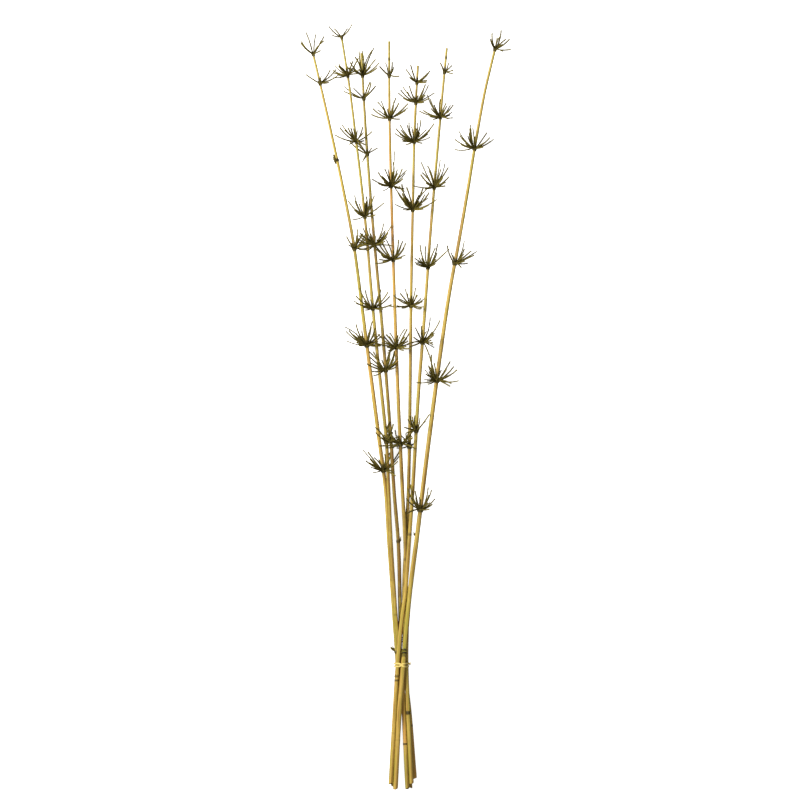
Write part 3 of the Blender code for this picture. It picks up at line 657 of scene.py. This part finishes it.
def raffia_material(settings):
    """Raffia: a dry palm-leaf strand, split along its veins, with a soft silky gloss."""
    material, tree = new_material("raffia_strand")
    uv = add_node(tree, "ShaderNodeUVMap", uv_map="strand")
    # Veins run along the strand about 0.5 mm apart.
    place = add_node(tree, "ShaderNodeMapping", {"Vector": uv.outputs["UV"]}, {"Scale": (2000, 60, 1)})
    vein = add_node(tree, "ShaderNodeTexNoise", {"Vector": place.outputs["Vector"]},
                    {"Scale": 1.0, "Detail": 3.0, "Roughness": 0.55})
    shade = add_node(tree, "ShaderNodeValToRGB", {"Fac": vein.outputs["Fac"]},
                     stops=[(0.35, 0.0), (0.65, 1.0)]).outputs["Color"]
    colour = add_node(tree, "ShaderNodeMix", {"Factor": shade}, {6: settings.dark, 7: settings.pale},
                      data_type="RGBA").outputs[2]
    ribs = add_node(tree, "ShaderNodeBump", {"Height": vein.outputs["Fac"]},
                    {"Strength": 0.5, "Distance": 0.2 * MM})
    shader = add_node(tree, "ShaderNodeBsdfPrincipled",
                      {"Base Color": colour, "Normal": ribs.outputs["Normal"]},
                      {"Roughness": 0.5, "IOR": 1.46, "Sheen Weight": 0.15, "Specular IOR Level": 0.4})
    end_material(tree, shader)
    return material


def sheet_material(settings):
    """Matt white paper lit from below, as on a light table."""
    material, tree = new_material("matt_white_sheet")
    place = add_node(tree, "ShaderNodeTexCoord")
    grain = add_node(tree, "ShaderNodeTexNoise", {"Vector": place.outputs["Object"]},
                     {"Scale": 400.0, "Detail": 2.0})
    colour = add_node(tree, "ShaderNodeMix", {"Factor": grain.outputs["Fac"]},
                      {6: linear_colour("#f3f3f1"), 7: linear_colour("#fafaf8")},
                      data_type="RGBA").outputs[2]
    shader = add_node(tree, "ShaderNodeBsdfPrincipled", {"Base Color": colour},
                      {"Roughness": 0.9, "Emission Color": (1, 1, 1, 1), "Emission Strength": settings.glow,
                       "Specular IOR Level": 0.2})
    end_material(tree, shader)
    return material


# ---- stems --------------------------------------------------------------------------------------

def joint_profile(radius, swelling, width):
    """A joint's outline about its middle, as (offset along the stem, radius)."""
    return [(-2.2 * width, radius), (-1.0 * width, radius * (1 + 0.35 * (swelling - 1))),
            (-0.35 * width, radius * swelling), (0.0, radius * (1 + 0.55 * (swelling - 1))),
            (0.3 * width, radius * (1 + 0.85 * (swelling - 1))),
            (1.0 * width, radius * (1 + 0.2 * (swelling - 1))), (2.0 * width, radius * 0.98)]


def stem_outline(stem, joints, settings, dice):
    """A whole stem's outline (radius, height), from the bottom of its bore to the middle of its cut tip."""
    outline = []
    for run, swelling, width in joints:
        outline += [(run + off, r) for off, r in joint_profile(stem.radius(run), swelling, width)]
    taken = np.array([at for at, _ in outline])
    for run in np.arange(3 * MM, stem.length - 2 * MM, settings.station_step):
        if np.abs(taken - run).min() > 3 * MM:
            outline.append((run, stem.radius(run) * dice.uniform(0.995, 1.035)))
    marks = np.concatenate([np.arange(-13, 14, 0.8 if width > 3 * MM else 1.5) * MM + run
                            for run, _, width in joints])
    taken = np.array([at for at, _ in outline])
    for run in marks:
        if np.abs(taken - run).min() > 0.55 * MM:
            outline.append((run, stem.radius(run)))
            taken = np.append(taken, run)
    outline = sorted((at, r) for at, r in outline if 1.5 * MM < at < stem.length - 1 * MM)
    low, high = stem.radius(0), stem.radius(stem.length)
    bore = low * settings.bore
    start = [(0.0, settings.bore_depth), (bore, settings.bore_depth), (bore * 1.02, 1.0 * MM),
             (bore * 1.06, 0.15 * MM), (low * 0.93, 0.0), (low * 1.0, 0.5 * MM)]
    end = [(high, stem.length - 0.5 * MM), (high * 0.8, stem.length), (high * 0.4, stem.length - 0.3 * MM),
           (0.0, stem.length - 0.5 * MM)]
    return start + [(r, at) for at, r in outline] + end


def tone_at(name, y):
    """The amber, olive and brown of a stem at a place along Y."""
    rows = np.array(TONES[name], float)
    return [float(np.interp(y / MM, rows[:, 0], rows[:, k])) for k in (1, 2, 3)]


def paint_tones(piece, stem, runs, rings, bore):
    """Stores each corner's amber, olive, brown and the darkness of the joint rings and of the painted shade
    inside the hollow cut end, once the stem is laid.
    """
    layer = piece.data.attributes.new("tone", "FLOAT_COLOR", "POINT")
    for corner, run, value in zip(piece.data.vertices, runs, layer.data):
        amber, olive, brown = tone_at(stem.name, stem.point(run).y)
        out = corner.co - stem.point(run)
        top = min(1.0, max(0.0, out.z / stem.radius(run)))
        scar_and_bore_shade = 0.0
        for at, reach, depth, arch in rings:
            scar_and_bore_shade = max(scar_and_bore_shade, depth * min(1.0, max(0.0, (1 - abs(run - at - arch * top) / reach) * 2.2)))
        # Inside the hollow of the cut end the scar colour is laid on at 0.9 as painted shade.
        inside = run < 0.05 and out.length < stem.radius(run) * (bore + 0.1)
        value.color = (amber, olive, brown, max(scar_and_bore_shade, 0.9 if inside else 0.0))


def break_end(piece, dice):
    """A rough cut: the rim slants a little and splinters."""
    slant = dice.uniform(0, 2 * math.pi)
    splinters = {}
    for corner in piece.data.vertices:
        if corner.co.z < 1.2 * MM:
            angle = math.atan2(corner.co.y, corner.co.x)
            key = round(angle, 2)
            if key not in splinters:
                splinters[key] = (dice.uniform(0, 1.6) * MM if dice.random() < 0.4
                                  else dice.uniform(0, 0.4) * MM)
            corner.co.z += (1 + math.cos(angle - slant)) * 0.9 * MM + splinters[key]


class REEDS_OT_stems(bpy.types.Operator):
    """Models the seven stems, with their joints and hollow cut ends"""
    bl_idname = "reeds.stems"
    bl_label = "Stems"

    def execute(self, context):
        settings = context.scene.reeds.stem
        material = straw_material(settings)
        for name in REEDS:
            dice = random.Random(name)
            stem = Stem(name)
            joints = []
            rings = []
            for tuft in TUFTS:
                if tuft.split("_")[1] != name.split("_")[1]:
                    continue
                hub = read_hub(tuft, stem)
                joints.append((hub, WHORL_SWELLING, WHORL_JOINT * MM))
                rings.append((hub + RING_SHIFT * MM, RING_REACH * MM, RING_DARK, 0.0))
            for y, swelling, dark, reach, arch in BARE_JOINTS[name]:
                run = stem.run_at(y * MM)
                if swelling > 1:
                    joints.append((run + 0.2 * arch * MM, swelling, (1.8 + 0.4 * arch) * MM))
                rings.append((run, reach * MM, dark, arch * MM))
            outline = stem_outline(stem, sorted(joints), settings, dice)
            piece = turn_profile("stem_" + name[-1], outline, settings.sides)
            unwrap_round(piece)
            break_end(piece, dice)
            runs = [corner.co.z for corner in piece.data.vertices]
            lay_along(piece, stem.line[:, :3])
            paint_tones(piece, stem, runs, rings, settings.bore)
            shade_smooth(piece)
            finish_piece(piece, material, name)
        return {"FINISHED"}


# ---- whorls -------------------------------------------------------------------------------------

def model_twig(variant):
    """One straight twig, a unit long up Z and a unit in radius: sheathed at its root, knotty, cut blunt."""
    dice = random.Random(variant)
    outline = [(0.0, -0.01), (0.7, -0.01)]
    height = 0.0
    for sheath in range(3):
        wide = 0.84 + 0.04 * sheath
        outline += [(wide * 0.75, height), (wide, height + 0.05), (wide * 0.98, height + 0.058)]
        height += 0.07 + dice.uniform(-0.01, 0.015)
    for knot in range(5):
        thin = 0.92 - 0.03 * knot
        outline += [(thin, height), (thin * 0.94, height + 0.04), (thin * 0.94, height + 0.09),
                    (thin * 1.08, height + 0.105), (thin * 1.05, height + 0.118)]
        height += 0.14 + dice.uniform(-0.008, 0.012)
    outline += [(0.78, min(height, 0.985)), (0.74, 1.0), (0.0, 1.0)]
    twig = turn_profile("twig_model", outline, 6)
    unwrap_round(twig)
    return twig


def model_sheath():
    """The toothed sheath round a joint, a unit in radius: a short wall whose top is drawn out in teeth."""
    start_alone()
    bpy.ops.mesh.primitive_cylinder_add(vertices=16, radius=1.0, depth=1.0, end_fill_type="NOTHING")
    sheath = bpy.context.object
    bpy.ops.object.mode_set(mode="EDIT")
    bpy.ops.mesh.select_all(action="DESELECT")
    bpy.ops.object.mode_set(mode="OBJECT")
    ring = sorted((math.atan2(v.co.y, v.co.x), v.index) for v in sheath.data.vertices if v.co.z > 0)
    for place, (_, index) in enumerate(ring):
        sheath.data.vertices[index].select = place % 2 == 0
    bpy.ops.object.mode_set(mode="EDIT")
    bpy.ops.transform.translate(value=(0, 0, 0.75))
    bpy.ops.transform.resize(value=(1.32, 1.32, 1.0), center_override=(0, 0, 0))
    bpy.ops.object.mode_set(mode="OBJECT")
    thick = sheath.modifiers.new("wall", "SOLIDIFY")
    thick.thickness = 0.12
    thick.offset = 1.0
    pick(sheath)
    bpy.ops.object.modifier_apply(modifier="wall")
    return named(sheath, "sheath_model")


def twig_way(root, bend, tip, count=9):
    """Points on a twig's soft bow from its root past its bend to its tip."""
    return [root * (1 - t) ** 2 + bend * 2 * t * (1 - t) + tip * t * t
            for t in (k / (count - 1) for k in range(count))]


def way_is_clear(points, stems, own, room):
    """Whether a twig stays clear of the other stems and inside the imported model's box."""
    for point in points:
        if any(not low + room < value < high - room
               for low, value, high in zip(cad_box[0], point, cad_box[1])):
            return False
        for stem in stems:
            if stem.name == own:
                continue
            run = stem.run_at(point.y)
            if (point - stem.point(run)).length < stem.radius(run) + room:
                return False
    return True


class Hub:
    """The middle of a joint, the way its stem runs there, and the stems round it."""

    def __init__(self, tuft, stems):
        self.stems = stems
        self.stem = next(stem for stem in stems if stem.name[-1] == tuft.split("_")[1])
        self.run = read_hub(tuft, self.stem)
        self.middle = self.stem.point(self.run)
        self.axis = self.stem.direction(self.run)
        self.depth = (Vector((0, 0, 1)) - self.axis * self.axis.z).normalized()
        self.side = self.axis.cross(self.depth).normalized()
        self.reach = self.stem.radius(self.run) * 0.9

    def way(self, right, forward, bow, deep):
        """A twig's points, for a tip that far right, forward and up, and that much bow."""
        length = math.hypot(right, forward)
        longer = 1 + 1.3 * MM / max(length, 5 * MM)
        right, forward, length = right * longer, forward * longer, length * longer
        flat = self.side * right + self.axis * forward
        across = (self.side * forward - self.axis * right) / max(length, 1e-6)
        spoke = self.side * right + self.depth * deep
        if spoke.length < 1e-6:
            spoke = self.depth
        root = self.middle + spoke.normalized() * self.reach
        tip = self.middle + flat + self.depth * deep
        bend = self.middle + flat * 0.5 + across * bow * length + self.depth * (deep * 0.62)
        return twig_way(root, bend, tip)

    def clear_way(self, right, forward, bow, deep, room):
        """The first clear way, trying other depths and then shorter twigs."""
        for short in (1.0, 0.85, 0.7):
            for lift in (1.0, -1.0, 0.55, -0.55, 1.4, 0.15, -0.15, 1.8, -1.4):
                points = self.way(right * short, forward * short, bow, deep * lift * short)
                if way_is_clear(points, self.stems, self.stem.name, room):
                    return points
        return None


def whorl_ways(tuft, hub, dice, inner):
    """All the twigs of a whorl as (points, thickness)."""
    stout = [(r * MM, f * MM, bow / 100) for r, f, bow in STOUT_TWIGS.get(tuft, [])]
    fine = [(r * MM, f * MM, bow / 100) for r, f, bow in FINE_TWIGS.get(tuft, [])]
    spread = max(math.hypot(r, f) for r, f, _ in stout + fine)
    ways = []
    for group, thickness in ((stout, 1.05), (fine, 0.86)):
        for right, forward, bow in group:
            length = math.hypot(right, forward)
            deep = math.sqrt(max(spread**2 - length**2, (0.25 * spread) ** 2)) * dice.uniform(0.35, 0.85)
            deep *= dice.choice((1, 1, -1))
            points = hub.clear_way(right, forward, bow, deep, TWIG_ROOM * MM)
            if points:
                ways.append((points, thickness * dice.uniform(0.9, 1.08)))
    inner = min(inner, len(ways) // 3)
    for k in range(inner):
        turn = 2 * math.pi * (k + dice.uniform(-0.2, 0.2)) / inner
        right = math.cos(turn) * dice.uniform(0.25, 0.5) * spread
        forward = dice.uniform(0.15, 0.5) * spread
        deep = (0.9 if k % 2 else -0.8) * spread * dice.uniform(0.75, 0.95)
        points = hub.clear_way(right, forward, 0.0, deep, TWIG_ROOM * MM)
        if points:
            ways.append((points, dice.uniform(0.8, 0.95)))
    return ways


class REEDS_OT_whorls(bpy.types.Operator):
    """Models a few straight twigs and a sheath, and sets copies of them round every joint"""
    bl_idname = "reeds.whorls"
    bl_label = "Whorls of twigs"

    def execute(self, context):
        settings = context.scene.reeds.twig
        material = twig_material(settings)
        models = [model_twig(variant) for variant in range(4)]
        sheath_model = model_sheath()
        stems = [Stem(name) for name in REEDS]
        for name in TUFTS:
            dice = random.Random(name)
            hub = Hub(name, stems)
            parts = []
            for level, (shift, size) in enumerate(SHEATHS):
                sheath = copy_of(sheath_model, "part")
                wide = hub.stem.radius(hub.run) * size
                sheath.data.transform(Matrix.Diagonal((wide, wide, 2.4 * MM, 1)))
                sheath.data.transform(Matrix.Rotation(level * math.pi / 16 + dice.uniform(0, 0.3), 4, "Z"))
                turn = Matrix((hub.side, hub.depth, hub.axis)).transposed().to_4x4()
                sheath.data.transform(Matrix.Translation(hub.middle + hub.axis * shift * MM) @ turn)
                unwrap = sheath.data.uv_layers.get("round") or sheath.data.uv_layers.new(name="round")
                for loop in unwrap.data:
                    loop.uv = (loop.uv.x, 0.06)
                sheath.data.attributes.new("dryness", "FLOAT", "POINT")
                parts.append(sheath)
            for points, thickness in whorl_ways(name, hub, dice, settings.inner):
                twig = copy_of(dice.choice(models), "part")
                length = sum((b - a).length for a, b in zip(points, points[1:]))
                wide = settings.root_radius * thickness
                twig.data.transform(Matrix.Diagonal((wide, wide, length, 1)))
                lay_along(twig, points)
                layer = twig.data.attributes.new("dryness", "FLOAT", "POINT")
                dryness = dice.random() ** 1.3
                layer.data.foreach_set("value", [dryness] * len(twig.data.vertices))
                parts.append(twig)
            piece = join_all(parts, name.replace("tuft", "whorl"))
            shade_smooth(piece, 50)
            finish_piece(piece, material, name)
        for model in [*models, sheath_model]:
            bpy.data.objects.remove(model)
        return {"FINISHED"}


# ---- buds ---------------------------------------------------------------------------------------

def model_bud():
    """One dry bud, a unit long up Z: a pod of four overlapping husks that narrows to a point."""
    outline = [(0.0, 0.0)]
    height = 0.0
    for husk in range(4):
        wide = (0.55, 1.0, 0.85, 0.5)[husk]
        outline += [(wide * 0.75, height + 0.01), (wide, height + 0.12), (wide * 0.92, height + 0.2)]
        height += 0.2
    outline += [(0.25, 0.9), (0.0, 1.0)]
    bud = turn_profile("bud_model", outline, 10)
    unwrap_round(bud)
    return bud


class REEDS_OT_buds(bpy.types.Operator):
    """Models a dry bud and sets copies of it on the bare joints"""
    bl_idname = "reeds.buds"
    bl_label = "Dry buds"

    def execute(self, context):
        material = bpy.data.materials.get("dried_twig_bark")
        if material is None:
            raise RuntimeError("make the whorls first: the buds share their bark")
        model = model_bud()
        stems = [Stem(name) for name in REEDS]
        for name in BUDS:
            dice = random.Random(name)
            centre = Vector(node_points(name).mean(axis=0))
            stem = min(stems, key=lambda s: (s.point(s.run_at(centre.y)) - centre).length)
            low = stem.run_at(node_points(name)[:, 1].min())
            axis = stem.direction(low)
            out = centre - stem.point(stem.run_at(centre.y))
            out = (out - axis * out.dot(axis)).normalized()
            parts = []
            for lean, length, wide, forward in BUD_PODS[name]:
                pod = copy_of(model, "part")
                pod.data.transform(Matrix.Diagonal((wide * MM, wide * MM, length * MM, 1)))
                turn = math.radians(lean)
                way = axis * math.cos(turn) + out * math.sin(turn)
                start = stem.point(low + forward * MM) + out * (stem.radius(low) + min(0.0, wide - 1.5) * MM)
                across = axis.cross(out) * dice.uniform(-0.15, 0.15) * length * MM
                end = start + way * length * MM
                lay_along(pod, twig_way(start, start.lerp(end, 0.5) + across + out * 0.08 * length * MM, end))
                layer = pod.data.attributes.new("dryness", "FLOAT", "POINT")
                layer.data.foreach_set("value", [dice.uniform(0.0, 0.2)] * len(pod.data.vertices))
                parts.append(pod)
            piece = join_all(parts, "dry_" + name)
            shade_smooth(piece, 50)
            finish_piece(piece, material, name)
        bpy.data.objects.remove(model)
        return {"FINISHED"}


# ---- tie ----------------------------------------------------------------------------------------

def hull(points):
    """The convex outline of flat points, anticlockwise."""
    points = sorted({(round(float(a), 6), round(float(b), 6)) for a, b in points})

    def half(rows):
        kept = []
        for p in rows:
            while len(kept) > 1 and ((kept[-1][0] - kept[-2][0]) * (p[1] - kept[-2][1])
                                     - (kept[-1][1] - kept[-2][1]) * (p[0] - kept[-2][0])) <= 0:
                kept.pop()
            kept.append(p)
        return kept[:-1]

    return half(points) + half(points[::-1])


def model_strand(length, width, thickness, dice):
    """A flat raffia strand up Z: a narrow sheet, ribbed and a little uneven, with some thickness."""
    start_alone()
    bpy.ops.mesh.primitive_grid_add(x_subdivisions=7, y_subdivisions=90, size=1.0)
    strand = bpy.context.object
    strand.data.transform(Matrix.Rotation(math.radians(90), 4, "X"))
    layer = strand.data.uv_layers.new(name="strand")
    waves = [dice.uniform(0, 6) for _ in range(8)]
    for corner in strand.data.vertices:
        across, up = corner.co.x, corner.co.z + 0.5
        edge = 1 + 0.1 * math.sin(11 * up + waves[0]) + 0.05 * math.sin(37 * up + waves[1])
        ribs = 0.12 * math.cos(across * 17 + waves[2]) + 0.5 * (abs(across) * 2) ** 2
        corner.co = (across * width * edge, -ribs * thickness, up * length)
    for face in strand.data.polygons:
        for loop in face.loop_indices:
            at = strand.data.vertices[strand.data.loops[loop].vertex_index].co
            layer.data[loop].uv = (at.x, at.z)
    thick = strand.modifiers.new("wall", "SOLIDIFY")
    thick.thickness = thickness
    thick.offset = 0.0
    pick(strand)
    bpy.ops.object.modifier_apply(modifier="wall")
    return strand


class REEDS_OT_tie(bpy.types.Operator):
    """Models the raffia tie: two turns that cross in front, and their short ends"""
    bl_idname = "reeds.tie"
    bl_label = "Raffia tie"

    def execute(self, context):
        settings = context.scene.reeds.raffia
        material = raffia_material(settings)
        dice = random.Random("raffia")
        points = node_points("tie")
        middle = (points[:, 1].min() + points[:, 1].max()) / 2
        outline = hull([(p[0], p[2]) for p in points])
        outline = np.array(outline + outline[:1])
        steps = np.linalg.norm(np.diff(outline, axis=0), axis=1)
        run = np.concatenate([[0], np.cumsum(steps)])
        centre = outline[:-1].mean(axis=0)
        parts = []
        count = 96
        for turn in (1, -1):
            way = []
            for k in range(count):
                at = run[-1] * k / count
                spot = np.array([np.interp(at, run, outline[:, 0]), np.interp(at, run, outline[:, 1])])
                inward = (spot - centre) / np.linalg.norm(spot - centre)
                front = math.atan2(inward[1], inward[0]) - math.radians(CROSSING)
                swap = math.tanh(math.sin(front / 2) * 9) * math.copysign(1, math.cos(front / 2))
                over = math.exp(-((math.sin(front / 2) * 5) ** 2))
                spot = spot - inward * (0.75 - (0.55 * over if turn > 0 else 0.0)) * MM
                way.append(Vector((spot[0], middle + turn * swap * TURN_APART * MM, spot[1])))
            length = sum((b - a).length for a, b in zip(way, way[1:] + way[:1]))
            strand = model_strand(length, settings.strand_width, settings.strand_thickness, dice)
            lay_along(strand, way, closed=True)
            parts.append(strand)
        for out, up, lift in TAGS:
            edge = outline[:, 0].max() if out > 0 else outline[:, 0].min()
            level = outline[np.abs(outline[:, 0] - edge) < 1.2 * MM][:, 1].mean()
            start = Vector((edge - out * 0.8 * MM, middle + up * MM, level))
            end = start + Vector((TAG_REACH_RIGHT if out > 0 else TAG_REACH_LEFT, up * 0.5, lift)) * MM
            tag = model_strand((end - start).length, settings.strand_width * 0.6,
                               settings.strand_thickness, dice)
            lay_along(tag, [start.lerp(end, k / 4) for k in range(5)])
            parts.append(tag)
        piece = join_all(parts, "raffia_tie")
        shade_smooth(piece, 60)
        finish_piece(piece, material, "tie")
        return {"FINISHED"}


# ---- stage --------------------------------------------------------------------------------------

class REEDS_OT_stage(bpy.types.Operator):
    """Sets the pale sheet, the soft lights and the camera that looks straight down"""
    bl_idname = "reeds.stage"
    bl_label = "Stage"

    def execute(self, context):
        settings = context.scene.reeds.stage
        start_alone()
        bpy.ops.mesh.primitive_grid_add(x_subdivisions=4, y_subdivisions=4, size=settings.floor_size)
        sheet = named(context.object, "pale_sheet")
        sheet.data.transform(Matrix.Translation((0, 0, -0.2 * MM)))
        sheet.data.materials.append(sheet_material(settings))
        sheet.visible_diffuse = False
        sheet.visible_glossy = False
        self.add_light("key_window", WINDOW_PLACE, 1.1, settings.key, (1.0, 0.97, 0.92))
        self.add_light("front_fill", FILL_PLACE, 1.4, settings.key * FILL_SHARE, (1.0, 0.99, 0.97))
        world = bpy.data.worlds.new("pale_room")
        world.use_nodes = True
        ground = world.node_tree.nodes["Background"]
        ground.inputs["Color"].default_value = (1.0, 1.0, 1.0, 1.0)
        ground.inputs["Strength"].default_value = settings.sky
        context.scene.world = world
        context.scene.view_settings.view_transform = "Standard"
        lens = bpy.data.cameras.new("overhead")
        lens.lens = LENS_LENGTH
        lens.sensor_width = SENSOR_WIDTH
        camera = bpy.data.objects.new("overhead", lens)
        context.scene.collection.objects.link(camera)
        camera.location = CAMERA_PLACE
        lens.clip_end = 200.0
        context.scene.camera = camera
        return {"FINISHED"}

    @staticmethod
    def add_light(name, place, size, power, colour):
        data = bpy.data.lights.new(name, "AREA")
        data.shape = "DISK"
        data.size = size
        data.energy = power
        data.color = colour
        lamp = bpy.data.objects.new(name, data)
        bpy.context.scene.collection.objects.link(lamp)
        lamp.location = place
        lamp.rotation_mode = "QUATERNION"
        lamp.rotation_quaternion = (-Vector(place)).to_track_quat("-Z", "Y")


class REEDS_PT_panel(bpy.types.Panel):
    """Lists the pieces in the order they are made"""
    bl_idname = "REEDS_PT_panel"
    bl_label = "Bunch of Reeds"
    bl_space_type = "VIEW_3D"
    bl_region_type = "UI"
    bl_category = "Reeds"

    def draw(self, context):
        settings = context.scene.reeds
        for label, group, operators in PARTS:
            box = self.layout.box()
            box.label(text=label)
            if group:
                part = getattr(settings, group)
                for name in part.bl_rna.properties.keys():
                    if name not in ("rna_type", "name"):
                        box.prop(part, name)
            for operator in operators:
                box.operator(operator)


PARTS = (
    ("Stems", "stem", ("reeds.stems",)),
    ("Twigs", "twig", ("reeds.whorls", "reeds.buds")),
    ("Tie", "raffia", ("reeds.tie",)),
    ("Stage", "stage", ("reeds.stage",)),
)
CLASSES = (
    StemSettings, TwigSettings, RaffiaSettings, StageSettings, ReedSettings,
    REEDS_OT_stems, REEDS_OT_whorls, REEDS_OT_buds, REEDS_OT_tie, REEDS_OT_stage, REEDS_PT_panel,
)


def register():
    for kind in CLASSES:
        bpy.utils.register_class(kind)
    bpy.types.Scene.reeds = bpy.props.PointerProperty(type=ReedSettings)


def unregister():
    del bpy.types.Scene.reeds
    for kind in reversed(CLASSES):
        bpy.utils.unregister_class(kind)


def main():
    register()
    bpy.ops.reeds.stems()
    bpy.ops.reeds.whorls()
    bpy.ops.reeds.buds()
    bpy.ops.reeds.tie()
    bpy.ops.reeds.stage()


if __name__ == "__main__":
    main()
